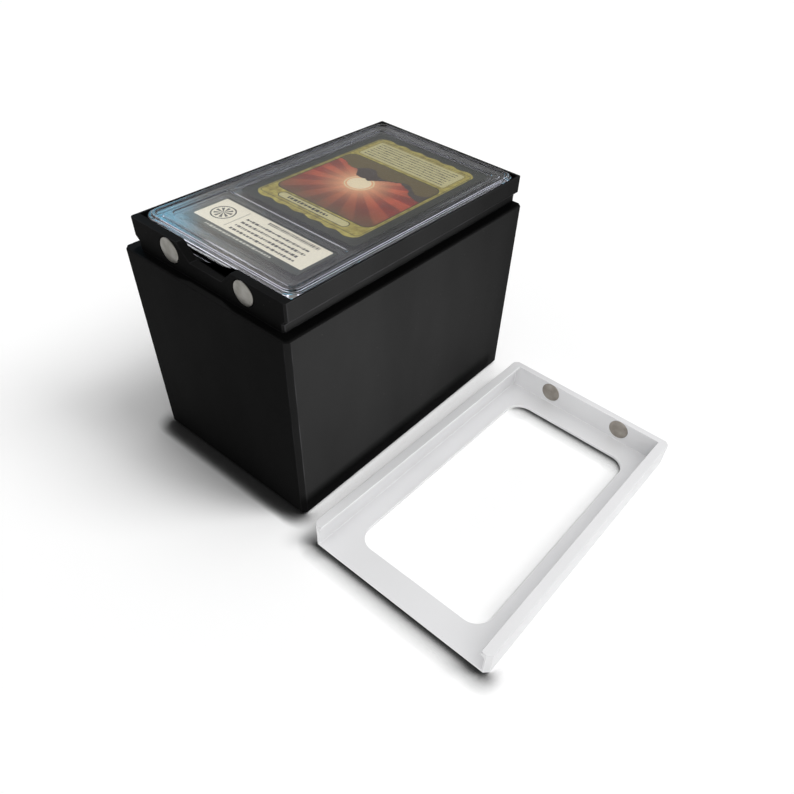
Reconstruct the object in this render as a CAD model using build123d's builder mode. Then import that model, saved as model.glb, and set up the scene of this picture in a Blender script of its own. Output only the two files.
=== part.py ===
"""Display case for one graded trading card and a deck of loose ones.

A deep box carries the graded holder in a recess on top and loose cards below it.
A frame cover slides over the rim from the notch end and is held shut by magnets.
The cover is modelled as it lies when taken off: beside the box, with its open
side up.

Units are millimetres.  The origin is the centre of the box's resting face, X runs
along the box away from the notch end, Y across it and Z up.
"""

from build123d import *
from math import cos, radians, sin
import os

os.makedirs("parts", exist_ok=True)

# ---------------------------------------------------------------- driving sizes

# Card and label in the graded holder.
card_length = 88.0
card_width = 63.0
card_thickness = 0.4
card_corner = 3.0
label_length = 20.5
label_width = 61.0
label_thickness = 0.3
label_corner = 0.8
paper_fit = 0.3

# Clear holder, made of two welded halves with an inner frame.
holder_label_border = 11.5
label_to_card = 7.3
holder_card_border = 9.2
holder_side_border = 8.75
holder_thickness = 7.0
holder_corner = 6.0
shell_step_width = 1.4
shell_step_depth = 0.8
shell_ridge_width = 1.5
shell_border_drop = 0.35
shell_window_drop = 0.35
window_overlap = 3.2
window_corner = 2.0
shell_rim = 5.0
well_thickness = 3.0
well_fit = 0.15
well_corner = 2.0
pad_length = 32.0
pad_width = 2.4
pad_height = 0.2
pad_shift = 18.0
pad_from_edge = 4.3

# Box.
holder_end_fit = 0.3
holder_side_fit = 0.2
holder_proud = 0.8
rim_wall = 0.9
notch_wall = 3.7
far_wall = 1.3
seat_width = 4.5
base_thickness = 3.0
compartment_depth = 95.6
compartment_corner = 2.0
edge_chamfer = 1.9
foot_radius = 2.5
rail_taper = 0.8
edge_break = 0.3

# Rails under the long sides of the rim.
rail_height = 7.6
groove_height = 2.9

# Finger notch in the rim's end wall.
notch_width = 29.2
notch_depth = 6.0
notch_angle = 45.0

# Magnets.
magnet_diameter = 10.0
magnet_thickness = 2.0
magnet_spacing = 40.0
magnet_drop = 5.6
magnet_fit = 0.05
magnet_mouth = 0.35

# Cover and its clearances on the box.
cover_plate = 1.5
cover_side_wall = 2.75
cover_end_wall = 3.3
lip_reach = 1.8
lip_edge = 1.5
cover_edge_chamfer = 0.8
holder_headroom = 0.1
rail_side_gap = 0.75
rail_slope_gap = 0.95
lip_side_gap = 0.95
magnet_gap = 0.6
cover_window_open_margin = 12.5
cover_window_end_margin = 14.4
cover_window_side_margin = 12.4
cover_window_corner = 8.0

# Where the cover lies when it is off the box.
cover_aside = 14.2
cover_back = 7.9
cover_turn = -1.2

# ---------------------------------------------------------------- derived sizes

# Holder.
holder_length = (
    holder_label_border + label_length + label_to_card + card_length + holder_card_border
)
holder_width = card_width + 2 * holder_side_border
shell_thickness = holder_thickness / 2
shell_step_corner = holder_corner - shell_step_width
ridge_inset = shell_step_width + shell_ridge_width
ridge_corner = holder_corner - ridge_inset
well_cavity = well_thickness / 2

# Rim and rails, measured inward from the box's long side.
rail_inset = cover_side_wall + rail_side_gap
lip_inset = cover_side_wall + lip_reach
groove_inset = lip_inset + lip_side_gap
rail_slope = groove_inset - rail_inset
magnet_face_inset = cover_end_wall + magnet_gap

# Plan of the box.
recess_length = holder_length + 2 * holder_end_fit
recess_width = holder_width + 2 * holder_side_fit
rim_width = recess_width + 2 * rim_wall
rim_length = notch_wall + recess_length + far_wall
box_width = rim_width + 2 * rail_inset
box_length = magnet_face_inset + rim_length

# Heights of the box.
recess_depth = holder_thickness - holder_proud
recess_floor = base_thickness + compartment_depth
rim_top = recess_floor + recess_depth
rail_bottom = rim_top - rail_height
groove_top = rail_bottom - rail_slope
ledge_height = groove_top - groove_height
magnet_height = rim_top - magnet_drop

# Places along X.
notch_end = -box_length / 2
magnet_face = notch_end + magnet_face_inset
recess_start = magnet_face + notch_wall
recess_centre = recess_start + recess_length / 2
holder_start = recess_start + holder_end_fit
label_centre = holder_start + holder_label_border + label_length / 2
card_centre = (
    holder_start + holder_label_border + label_length + label_to_card + card_length / 2
)

# Heights in the holder.
weld_height = recess_floor + shell_thickness
holder_top = recess_floor + holder_thickness
well_bottom = weld_height - well_cavity
well_top = weld_height + well_cavity
pocket_floor = well_top - card_thickness - paper_fit / 2

# Cover, measured up from its outer face, which is turned down.
rim_depth_in_cover = cover_plate + holder_headroom + holder_proud
lip_slope_start = rim_depth_in_cover + rail_height + rail_slope_gap - rail_side_gap
lip_slope_end = lip_slope_start + lip_reach
cover_height = lip_slope_end + lip_edge
cover_magnet_height = rim_depth_in_cover + magnet_drop

# ---------------------------------------------------------------- reference planes

cover_base = Plane(
    origin=(-cover_back, -(box_width + cover_aside), 0),
    x_dir=(cos(radians(cover_turn)), sin(radians(cover_turn)), 0),
    z_dir=(0, 0, 1),
)
cover_section = Plane(
    origin=cover_base.from_local_coords((-box_length / 2, 0, 0)),
    x_dir=cover_base.y_dir,
    z_dir=cover_base.x_dir,
)
cover_magnet_plane = Plane(
    origin=cover_base.from_local_coords(
        (box_length / 2 - cover_end_wall, 0, cover_magnet_height)
    ),
    x_dir=cover_base.y_dir,
    z_dir=-cover_base.x_dir,
)
box_magnet_plane = Plane(
    origin=(magnet_face, 0, magnet_height), x_dir=(0, 1, 0), z_dir=(-1, 0, 0)
)

# ---------------------------------------------------------------- box body

with BuildPart() as box_body:
    # Lower box with chamfered uprights and a rounded foot.
    with BuildSketch(Plane.XY):
        Rectangle(box_length, box_width)
        chamfer(vertices(), edge_chamfer)
    extrude(amount=ledge_height)
    fillet(box_body.faces().sort_by(Axis.Z)[0].edges(), foot_radius)
    chamfer(box_body.faces().sort_by(Axis.Z)[-1].edges(), edge_break)

    # Rim with an undercut rail along each long side, flush with the far end.
    with BuildSketch(Plane.YZ.offset(magnet_face)):
        with BuildLine():
            Polyline(
                (0, ledge_height),
                (box_width / 2 - groove_inset, ledge_height),
                (box_width / 2 - groove_inset, groove_top),
                (box_width / 2 - rail_inset, rail_bottom),
                (box_width / 2 - rail_inset, rim_top),
                (0, rim_top),
            )
            mirror(about=Plane.YZ)
        make_face()
    extrude(amount=rim_length)

    # Both rails are tapered at the notch end, so that the cover runs on easily.
    rim_end = box_body.faces().filter_by(Axis.X).group_by(Axis.X)[1].face()
    chamfer(rim_end.edges() - rim_end.edges().filter_by(Axis.Y), rail_taper)

    # Recess for the graded holder, and the card compartment below its seat.
    with BuildSketch(Plane.XY.offset(recess_floor)):
        with Locations((recess_centre, 0)):
            Rectangle(recess_length, recess_width)
    extrude(amount=recess_depth, mode=Mode.SUBTRACT)
    with BuildSketch(Plane.XY.offset(recess_floor)):
        with Locations((recess_centre, 0)):
            RectangleRounded(
                recess_length - 2 * seat_width,
                recess_width - 2 * seat_width,
                compartment_corner,
            )
    extrude(amount=-compartment_depth, mode=Mode.SUBTRACT)

    # Finger notch with sloping ends, down through the rim's end wall.
    with BuildSketch(Plane.YZ.offset(magnet_face)):
        with Locations((0, rim_top - notch_depth)):
            Trapezoid(
                notch_width,
                notch_depth,
                180 - notch_angle,
                align=(Align.CENTER, Align.MIN),
            )
    extrude(amount=notch_wall, mode=Mode.SUBTRACT)

    # Blind pockets for the magnets, with a broken mouth.
    with Locations(box_magnet_plane):
        with GridLocations(magnet_spacing, magnet_spacing, 2, 1):
            CounterSinkHole(
                radius=magnet_diameter / 2 + magnet_fit,
                counter_sink_radius=magnet_diameter / 2 + magnet_fit + magnet_mouth,
                depth=magnet_thickness,
                counter_sink_angle=90,
            )

box_body.part.label = "box_body"
export_step(box_body.part, "parts/box_body.step")

# ---------------------------------------------------------------- cover frame

with BuildPart() as cover_frame:
    # Outer block, its plate side down.
    with BuildSketch(cover_base):
        Rectangle(box_length, box_width)
        chamfer(vertices(), edge_chamfer)
    extrude(amount=cover_height)
    chamfer(cover_frame.faces().sort_by(Axis.Z)[0].edges(), cover_edge_chamfer)
    chamfer(cover_frame.faces().sort_by(Axis.Z)[-1].edges(), edge_break)

    # Space for the rim: open at one end, closed in by a lip along each long side.
    with BuildSketch(cover_section):
        with BuildLine():
            Polyline(
                (0, cover_plate),
                (box_width / 2 - cover_side_wall, cover_plate),
                (box_width / 2 - cover_side_wall, lip_slope_start),
                (box_width / 2 - lip_inset, lip_slope_end),
                (box_width / 2 - lip_inset, cover_height),
                (0, cover_height),
            )
            mirror(about=Plane.YZ)
        make_face()
    extrude(amount=box_length - cover_end_wall, mode=Mode.SUBTRACT)

    # Window over the card and its label.
    with BuildSketch(cover_base):
        with Locations(((cover_window_open_margin - cover_window_end_margin) / 2, 0)):
            RectangleRounded(
                box_length - cover_window_open_margin - cover_window_end_margin,
                box_width - 2 * cover_window_side_margin,
                cover_window_corner,
            )
    extrude(amount=cover_plate, mode=Mode.SUBTRACT)

    # Blind pockets for the magnets in the end wall.
    with Locations(cover_magnet_plane):
        with GridLocations(magnet_spacing, magnet_spacing, 2, 1):
            Hole(radius=magnet_diameter / 2 + magnet_fit, depth=magnet_thickness)

cover_frame.part.label = "cover_frame"
export_step(cover_frame.part, "parts/cover_frame.step")

# ---------------------------------------------------------------- magnets

for holder_name, face_plane in (("box", box_magnet_plane), ("cover", cover_magnet_plane)):
    for side_name, side in (("left", 1), ("right", -1)):
        with BuildPart() as magnet:
            with BuildSketch(face_plane):
                with Locations((side * magnet_spacing / 2, 0)):
                    Circle(magnet_diameter / 2)
            extrude(amount=-magnet_thickness)
        magnet.part.label = f"{holder_name}_magnet_{side_name}"
        export_step(magnet.part, f"parts/{holder_name}_magnet_{side_name}.step")

# ---------------------------------------------------------------- graded holder

with BuildPart() as slab_front_shell:
    # Stepped outline: a low outer band, then the raised ridge.
    with BuildSketch(Plane.XY.offset(weld_height)):
        with Locations((holder_start + holder_length / 2, 0)):
            RectangleRounded(holder_length, holder_width, holder_corner)
    extrude(amount=shell_thickness - shell_step_depth)
    with BuildSketch(Plane.XY.offset(holder_top - shell_step_depth)):
        with Locations((holder_start + holder_length / 2, 0)):
            RectangleRounded(
                holder_length - 2 * shell_step_width,
                holder_width - 2 * shell_step_width,
                shell_step_corner,
            )
    extrude(amount=shell_step_depth)

    # Inside the ridge the border drops a little.
    with BuildSketch(Plane.XY.offset(holder_top)):
        with Locations((holder_start + holder_length / 2, 0)):
            RectangleRounded(
                holder_length - 2 * ridge_inset,
                holder_width - 2 * ridge_inset,
                ridge_corner,
            )
    extrude(amount=-shell_border_drop, mode=Mode.SUBTRACT)

    # A lower pane over the label and another over the card, with a bar between them.
    with BuildSketch(Plane.XY.offset(holder_top - shell_border_drop)):
        with Locations((label_centre, 0)):
            RectangleRounded(
                label_length + 2 * window_overlap,
                card_width + window_overlap,
                window_corner,
            )
        with Locations((card_centre, 0)):
            RectangleRounded(
                card_length + window_overlap / 2,
                card_width + window_overlap,
                window_corner,
            )
    extrude(amount=-shell_window_drop, mode=Mode.SUBTRACT)

    # Frosted grip pad on the border beside the card.
    with BuildSketch(Plane.XY.offset(holder_top - shell_border_drop)):
        with Locations((card_centre + pad_shift, pad_from_edge - holder_width / 2)):
            Rectangle(pad_length, pad_width)
    extrude(amount=pad_height)

    # Half of the cavity for the inner frame.
    with BuildSketch(Plane.XY.offset(weld_height)):
        with Locations((holder_start + holder_length / 2, 0)):
            RectangleRounded(
                holder_length - 2 * shell_rim,
                holder_width - 2 * shell_rim,
                well_corner,
            )
    extrude(amount=well_cavity, mode=Mode.SUBTRACT)

slab_front_shell.part.label = "slab_front_shell"
export_step(slab_front_shell.part, "parts/slab_front_shell.step")

with BuildPart() as slab_back_shell:
    with BuildSketch(Plane.XY.offset(weld_height)):
        with Locations((holder_start + holder_length / 2, 0)):
            RectangleRounded(holder_length, holder_width, holder_corner)
    extrude(amount=shell_step_depth - shell_thickness)
    with BuildSketch(Plane.XY.offset(recess_floor)):
        with Locations((holder_start + holder_length / 2, 0)):
            RectangleRounded(
                holder_length - 2 * shell_step_width,
                holder_width - 2 * shell_step_width,
                shell_step_corner,
            )
    extrude(amount=shell_step_depth)
    with BuildSketch(Plane.XY.offset(recess_floor)):
        with Locations((holder_start + holder_length / 2, 0)):
            RectangleRounded(
                holder_length - 2 * ridge_inset,
                holder_width - 2 * ridge_inset,
                ridge_corner,
            )
    extrude(amount=shell_border_drop, mode=Mode.SUBTRACT)
    with BuildSketch(Plane.XY.offset(weld_height)):
        with Locations((holder_start + holder_length / 2, 0)):
            RectangleRounded(
                holder_length - 2 * shell_rim,
                holder_width - 2 * shell_rim,
                well_corner,
            )
    extrude(amount=-well_cavity, mode=Mode.SUBTRACT)

slab_back_shell.part.label = "slab_back_shell"
export_step(slab_back_shell.part, "parts/slab_back_shell.step")

with BuildPart() as slab_card_well:
    with BuildSketch(Plane.XY.offset(well_bottom)):
        with Locations((holder_start + holder_length / 2, 0)):
            RectangleRounded(
                holder_length - 2 * (shell_rim + well_fit),
                holder_width - 2 * (shell_rim + well_fit),
                well_corner,
            )
    extrude(amount=well_thickness)
    # Shallow pockets that hold the label and the card.
    with BuildSketch(Plane.XY.offset(well_top)):
        with Locations((label_centre, 0)):
            RectangleRounded(
                label_length + paper_fit, label_width + paper_fit, label_corner
            )
        with Locations((card_centre, 0)):
            RectangleRounded(card_length + paper_fit, card_width + paper_fit, card_corner)
    extrude(amount=pocket_floor - well_top, mode=Mode.SUBTRACT)

slab_card_well.part.label = "slab_card_well"
export_step(slab_card_well.part, "parts/slab_card_well.step")

# ---------------------------------------------------------------- card and label

with BuildPart() as trading_card:
    with BuildSketch(Plane.XY.offset(pocket_floor)):
        with Locations((card_centre, 0)):
            RectangleRounded(card_length, card_width, card_corner)
    extrude(amount=card_thickness)

trading_card.part.label = "trading_card"
export_step(trading_card.part, "parts/trading_card.step")

with BuildPart() as grade_label:
    with BuildSketch(Plane.XY.offset(pocket_floor)):
        with Locations((label_centre, 0)):
            RectangleRounded(label_length, label_width, label_corner)
    extrude(amount=label_thickness)

grade_label.part.label = "grade_label"
export_step(grade_label.part, "parts/grade_label.step")
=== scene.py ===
"""Display case for one graded trading card, dressed for rendering.

A black box carries a clear card holder in its rim, and a white frame cover lies
beside it.  Sizes in the classes are millimetres and become metres where a mesh is
made.  X runs along the box away from its notch end, Y across it and Z up.
"""

import logging
import math
from dataclasses import dataclass
from enum import Enum
from functools import partial

import bmesh
import bpy
from mathutils import Matrix, Vector
from mathutils.geometry import tessellate_polygon


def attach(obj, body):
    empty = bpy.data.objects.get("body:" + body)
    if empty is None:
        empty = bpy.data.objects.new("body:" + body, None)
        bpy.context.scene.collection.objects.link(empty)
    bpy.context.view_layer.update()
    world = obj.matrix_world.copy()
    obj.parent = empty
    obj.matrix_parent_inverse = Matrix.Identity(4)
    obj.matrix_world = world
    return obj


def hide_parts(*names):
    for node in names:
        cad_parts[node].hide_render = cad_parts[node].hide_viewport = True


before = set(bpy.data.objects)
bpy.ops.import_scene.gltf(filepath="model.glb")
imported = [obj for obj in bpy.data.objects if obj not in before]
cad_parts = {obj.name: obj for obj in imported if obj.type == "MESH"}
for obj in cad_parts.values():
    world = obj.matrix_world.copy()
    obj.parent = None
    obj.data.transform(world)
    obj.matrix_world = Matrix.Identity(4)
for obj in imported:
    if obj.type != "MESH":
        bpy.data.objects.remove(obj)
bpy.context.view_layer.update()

LOG = logging.getLogger("display_case")
MM = 0.001
WHITE = (1.0, 1.0, 1.0)

Colour = tuple[float, float, float]
Place = tuple[float, float, float]
Point = tuple[float, float]
Node = bpy.types.Node
Socket = bpy.types.NodeSocket
Sockets = bpy.types.NodeOutputs
Thing = bpy.types.Object
Ring = list[bmesh.types.BMVert]


class Body(Enum):
    """The three bodies that move apart."""

    BOX = "box"
    COVER = "cover"
    SLAB = "slab"


class Slot(Enum):
    """The record's material slots."""

    BOX_PLASTIC = "box_plastic"
    COVER_PLASTIC = "cover_plastic"
    NICKEL = "magnet_nickel"
    SHELL = "clear_shell"
    WELL = "clear_well"
    CARD = "card_stock"
    LABEL = "label_paper"


def srgb(*levels: int) -> Colour:
    """Turn red, green and blue from 0 to 255, as displayed, into scene-linear values."""
    shares = [level / 255 for level in levels]
    return tuple(s / 12.92 if s <= 0.04045 else ((s + 0.055) / 1.055) ** 2.4 for s in shares)


def dimmed(colour: Colour, share: float) -> Colour:
    """Give a colour at a share of its brightness."""
    return tuple(channel * share for channel in colour)


# ------------------------------------------------------------------ node trees


class Graph:
    """Adds nodes to one tree and links them."""

    def __init__(self, tree: bpy.types.NodeTree) -> None:
        """Keep the tree that the nodes go into."""
        self.tree = tree

    def feed(self, socket: Socket, value: object) -> None:
        """Link a socket to an input, or set the input's value.

        Args:
            socket: The input.
            value: An output socket, a number, a colour or a vector.
        """
        if isinstance(value, Socket):
            self.tree.links.new(value, socket)
        elif socket.type == "RGBA":
            socket.default_value = (*value, 1.0)
        else:
            socket.default_value = value

    def node(self, kind: str, *terms: object, start: int = 0, **given: object) -> Node:
        """Add a node.

        Args:
            kind: The node's type name.
            terms: Values for its inputs, in order.
            start: The input that the first of them goes to.
            given: Its settings in small letters, and after them values for inputs by
                name, with _ for a space.

        Returns:
            The new node.
        """
        made = self.tree.nodes.new(kind)
        for name, value in given.items():
            if name[0].islower():
                setattr(made, name, value)
            else:
                self.feed(made.inputs[name.replace("_", " ")], value)
        for socket, term in zip(made.inputs[start:], terms):
            self.feed(socket, term)
        return made

    def math(self, operation: str, *terms: float | Socket) -> Socket:
        """Add a Math node and give its result."""
        return self.node("ShaderNodeMath", *terms, operation=operation).outputs[0]

    def vector(self, operation: str, *terms: object, **given: object) -> Socket:
        """Add a Vector Math node and give its vector, or its number where it gives one."""
        made = self.node("ShaderNodeVectorMath", *terms, operation=operation, **given)
        return made.outputs["Value" if operation in ("LENGTH", "DOT_PRODUCT") else "Vector"]

    def parts(self, vector: Socket) -> list[Socket]:
        """Split a vector into X, Y and Z."""
        return list(self.node("ShaderNodeSeparateXYZ", vector).outputs)

    def join(self, *terms: float | Socket) -> Socket:
        """Make a vector of three numbers."""
        return self.node("ShaderNodeCombineXYZ", *terms).outputs[0]

    def remap(
        self, value: Socket, low: float, high: float, to_low: float = 0.0, to_high: float = 1.0
    ) -> Socket:
        """Map a number from one range to another, clamped."""
        return self.node("ShaderNodeMapRange", value, low, high, to_low, to_high).outputs[0]

    def noise(self, where: Socket, scale: float | Socket, detail: float) -> Socket:
        """Give a noise of about 0.3 to 0.7, with its cells in a unit and its octaves."""
        made = self.node("ShaderNodeTexNoise", Vector=where, Scale=scale, Detail=detail)
        return made.outputs[0]

    def patches(
        self, where: Socket, scale: float | Socket, detail: float, low: float, high: float
    ) -> Socket:
        """Stretch a noise's range from low to high over 0 to 1."""
        return self.remap(self.noise(where, scale, detail), low, high)

    def mix(self, share: Socket, first: Colour | Socket, second: Colour | Socket) -> Socket:
        """Mix two colours, with a share of the second."""
        given = {"start": 6, "data_type": "RGBA", "Factor": share}
        return self.node("ShaderNodeMix", first, second, **given).outputs[2]

    def coats(self, colour: Colour | Socket, *coats: tuple[Socket, Colour | Socket]) -> Socket:
        """Lay colours over one another.

        Args:
            colour: The lowest colour.
            coats: The mask and the colour of each coat, from the lowest up.

        Returns:
            The colour that shows.
        """
        for mask, coat in coats:
            colour = self.mix(mask, colour, coat)
        return colour

    def bump(self, height: Socket, depth: float) -> Socket:
        """Turn a height from 0 to 1 into a normal, for a depth in metres."""
        return self.node("ShaderNodeBump", Distance=depth, Height=height).outputs[0]

    def place(self) -> Socket:
        """Give the object coordinates, in metres."""
        return self.node("ShaderNodeTexCoord").outputs["Object"]

    def principled(self, **given: object) -> Socket:
        """Add a Principled shader with these inputs and give its result."""
        return self.node("ShaderNodeBsdfPrincipled", **given).outputs[0]

    def path(self, *rays: str) -> Socket:
        """Tell where a ray is one of these kinds.

        Args:
            rays: Names of kinds, as the Light Path node has them between Is and Ray.

        Returns:
            1 where it is one of them, or else 0.
        """
        outputs = self.node("ShaderNodeLightPath").outputs
        found, *others = [outputs[f"Is {ray} Ray"] for ray in rays]
        for other in others:
            found = self.math("MAXIMUM", found, other)
        return found

    def effect(self, effect: "SharedTree", **given: object) -> Sockets:
        """Place a shared effect with these inputs and give its outputs."""
        return self.node("ShaderNodeGroup", node_tree=effect.tree(), **given).outputs


class SharedTree:
    """A node group that is built once and used in several places."""

    name = ""
    kind = "ShaderNodeTree"
    inputs: dict[str, tuple[str, ...]] = {}
    outputs: dict[str, tuple[str, ...]] = {}

    def tree(self) -> bpy.types.NodeTree:
        """Give the group, building it the first time.

        Returns:
            The group's tree.
        """
        found = bpy.data.node_groups.get(self.name)
        if found:
            return found
        made = bpy.data.node_groups.new(self.name, self.kind)
        for side, sockets in (("INPUT", self.inputs), ("OUTPUT", self.outputs)):
            for kind, names in sockets.items():
                for name in names:
                    made.interface.new_socket(name, in_out=side, socket_type=f"NodeSocket{kind}")
        graph = Graph(made)
        result = self.wire(graph, graph.node("NodeGroupInput").outputs)
        graph.node("NodeGroupOutput", **result)
        return made

    def wire(self, graph: Graph, given: Sockets) -> dict[str, Socket]:
        """Build the group's inside.

        Args:
            graph: The group's graph.
            given: The group's inputs.

        Returns:
            The socket for each output name.
        """
        raise NotImplementedError


class MouldedSurface(SharedTree):
    """Spark-eroded grain, faint flow marks and worn edges of moulded plastic."""

    name = "moulded_surface"
    inputs = {"Vector": ("Place",), "Float": ("Grain Scale", "Flow Scale", "Edge")}
    outputs = {"Float": ("Height", "Flow", "Wear", "Dust")}

    def wire(self, graph: Graph, given: Sockets) -> dict[str, Socket]:
        """Build the grain, flow, wear and dust masks.

        Args:
            graph: The group's graph.
            given: The group's inputs.

        Returns:
            The socket for each output name.
        """
        place = given["Place"]
        grain = graph.noise(place, given["Grain Scale"], detail=3.0)
        pit_scale = graph.math("MULTIPLY", given["Grain Scale"], 0.7)
        pits = graph.node("ShaderNodeTexVoronoi", feature="SMOOTH_F1", Vector=place, Scale=pit_scale)
        height = graph.math("ADD", grain, graph.math("MULTIPLY", pits.outputs[0], 0.35))
        stretched = graph.vector("MULTIPLY", place, (1.0, 1.0, 0.35))
        flow = graph.patches(stretched, given["Flow Scale"], 4.0, 0.3, 0.7)
        rubbed = graph.remap(graph.noise(place, 90.0, detail=3.0), 0.38, 0.62, 0.25, 1.0)
        wear = graph.math("MULTIPLY", given["Edge"], rubbed)
        specks = graph.node("ShaderNodeTexVoronoi", feature="F1", Vector=place, Scale=260.0)
        round_specks = graph.remap(specks.outputs[0], 0.03, 0.07, 1.0, 0.0)
        sparse = graph.patches(place, 55.0, 1.0, 0.56, 0.62)
        dust = graph.math("MULTIPLY", round_specks, sparse)
        return {"Height": height, "Flow": flow, "Wear": wear, "Dust": dust}


class PrintedPanel(SharedTree):
    """Mask of a rectangle with round corners, in millimetres."""

    name = "printed_panel"
    inputs = {"Vector": ("Place", "Centre", "Half Size"), "Float": ("Corner",)}
    outputs = {"Float": ("Mask",)}

    def wire(self, graph: Graph, given: Sockets) -> dict[str, Socket]:
        """Build the signed distance to the panel's outline and its mask.

        Args:
            graph: The group's graph.
            given: The group's inputs.

        Returns:
            The socket for each output name.
        """
        away = graph.vector("ABSOLUTE", graph.vector("SUBTRACT", given["Place"], given["Centre"]))
        inner = graph.parts(graph.vector("SUBTRACT", away, given["Half Size"]))
        x, y = (graph.math("ADD", part, given["Corner"]) for part in inner[:2])
        beyond = graph.join(graph.math("MAXIMUM", x, 0.0), graph.math("MAXIMUM", y, 0.0), 0.0)
        outside = graph.vector("LENGTH", beyond)
        inside = graph.math("MINIMUM", graph.math("MAXIMUM", x, y), 0.0)
        distance = graph.math("SUBTRACT", graph.math("ADD", outside, inside), given["Corner"])
        return {"Mask": graph.remap(distance, -0.05, 0.05, 1.0, 0.0)}


class SunRays(SharedTree):
    """Rays and rings round a centre, in millimetres."""

    name = "sun_rays"
    inputs = {"Vector": ("Place", "Centre"), "Float": ("Rays", "Radius")}
    outputs = {"Float": ("Ray", "Disc", "Ring", "Glow")}

    def wire(self, graph: Graph, given: Sockets) -> dict[str, Socket]:
        """Build the ray, disc, ring and glow masks.

        Args:
            graph: The group's graph.
            given: The group's inputs.

        Returns:
            The socket for each output name.
        """
        x, y, _ = graph.parts(graph.vector("SUBTRACT", given["Place"], given["Centre"]))
        angle = graph.math("ARCTAN2", y, x)
        swing = graph.math("SINE", graph.math("MULTIPLY", angle, given["Rays"]))
        far = graph.vector("LENGTH", graph.join(x, y, 0.0))
        edge = graph.math("SUBTRACT", far, given["Radius"])
        starts = graph.remap(edge, 0.7, 0.8)
        ends = graph.remap(edge, 1.3, 1.4, 1.0, 0.0)
        return {
            "Ray": graph.remap(swing, -0.25, 0.25),
            "Disc": graph.remap(edge, -0.06, 0.06, 1.0, 0.0),
            "Ring": graph.math("MULTIPLY", starts, ends),
            "Glow": graph.remap(edge, 0.0, 20.0, 1.0, 0.0),
        }


class HandlingMarks(SharedTree):
    """Smudges and fine hairlines that show where plastic or plating is polished."""

    name = "handling_marks"
    inputs = {"Vector": ("Place",), "Float": ("Smudge Scale", "Clean", "Smudged")}
    outputs = {"Float": ("Roughness", "Hairlines")}

    def wire(self, graph: Graph, given: Sockets) -> dict[str, Socket]:
        """Build the roughness between clean and smudged, and the hairlines' height.

        Args:
            graph: The group's graph.
            given: The group's inputs.

        Returns:
            The socket for each output name.
        """
        place = given["Place"]
        smudge = graph.patches(place, given["Smudge Scale"], 4.0, 0.42, 0.66)
        turned = graph.node("ShaderNodeVectorRotate", rotation_type="Z_AXIS", Vector=place, Angle=0.6)
        long = graph.vector("MULTIPLY", turned.outputs[0], (0.02, 1.0, 1.0))
        lines = graph.patches(long, 1400.0, 1.0, 0.66, 0.72)
        more = graph.math("SUBTRACT", given["Smudged"], given["Clean"])
        level = graph.math("MULTIPLY_ADD", smudge, more, given["Clean"])
        return {"Roughness": level, "Hairlines": lines}


# -------------------------------------------------------------------- finishes


@dataclass(frozen=True)
class Finish:
    """A named surface finish."""

    name: str

    def material(self) -> bpy.types.Material:
        """Give the material, building it the first time.

        Returns:
            The material.
        """
        found = bpy.data.materials.get(self.name)
        if found:
            return found
        made = bpy.data.materials.new(self.name)
        made.use_nodes = True
        made.node_tree.nodes.clear()
        graph = Graph(made.node_tree)
        graph.node("ShaderNodeOutputMaterial", Surface=self.wire(graph))
        return made

    def wire(self, graph: Graph) -> Socket:
        """Build the surface.

        Args:
            graph: The material's graph.

        Returns:
            The surface's shader.
        """
        raise NotImplementedError


@dataclass(frozen=True)
class MouldedPlastic(Finish):
    """Satin moulded plastic.

    It has a colour where an edge is worn and one under a speck of dust.  Its grain and
    flow marks have so many cells in a metre, and the grain a depth in metres.  The flow
    marks change the colour, and the roughness by a share of that.
    """

    colour: Colour
    worn: Colour
    dusty: Colour
    roughness: float
    specular: float
    grain_depth: float
    flow_contrast: float
    grain_scale: float = 2400.0
    flow_scale: float = 24.0
    flow_gloss: float = 0.4

    def wire(self, graph: Graph) -> Socket:
        """Build plastic with grain, flow marks, worn edges and dust.

        Args:
            graph: The material's graph.

        Returns:
            The surface's shader.
        """
        made = graph.effect(
            MouldedSurface(),
            Place=graph.place(),
            Grain_Scale=self.grain_scale,
            Flow_Scale=self.flow_scale,
            Edge=graph.node("ShaderNodeAttribute", attribute_name="edge_wear").outputs["Fac"],
        )
        spread = self.roughness * self.flow_contrast * self.flow_gloss
        rough, smooth = self.roughness + spread, self.roughness - spread
        return graph.principled(
            Base_Color=graph.coats(
                dimmed(self.colour, share=1 - self.flow_contrast),
                (made["Flow"], self.colour),
                (made["Wear"], self.worn),
                (made["Dust"], self.dusty),
            ),
            Roughness=graph.remap(made["Flow"], 0.0, 1.0, rough, smooth),
            Specular_IOR_Level=self.specular,
            Normal=graph.bump(made["Height"], self.grain_depth),
        )


@dataclass(frozen=True)
class Polished(Finish):
    """A polished surface, with its roughness where it is clean and where it is smudged."""

    colour: Colour
    clean: float
    smudged: float

    def marks(self, graph: Graph, place: Socket, smudge_scale: float) -> Sockets:
        """Give the smudges and the hairlines on it."""
        given = {"Smudge_Scale": smudge_scale, "Clean": self.clean, "Smudged": self.smudged}
        return graph.effect(HandlingMarks(), Place=place, **given)


@dataclass(frozen=True)
class NickelPlate(Polished):
    """Nickel plating with a tumbled face that is cloudy in places."""

    cloudy: Colour

    def wire(self, graph: Graph) -> Socket:
        """Build plating with clouding, smudges and tumbling marks.

        Args:
            graph: The material's graph.

        Returns:
            The surface's shader.
        """
        place = graph.place()
        made = self.marks(graph, place, smudge_scale=260.0)
        cloud = graph.patches(place, 180.0, 3.0, 0.35, 0.65)
        tumbled = graph.noise(place, 1900.0, detail=3.0)
        height = graph.math("ADD", tumbled, graph.math("MULTIPLY", made["Hairlines"], 0.4))
        return graph.principled(
            Base_Color=graph.mix(cloud, self.colour, self.cloudy),
            Metallic=1.0,
            Roughness=made["Roughness"],
            Normal=graph.bump(height, depth=0.00001),
        )


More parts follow.
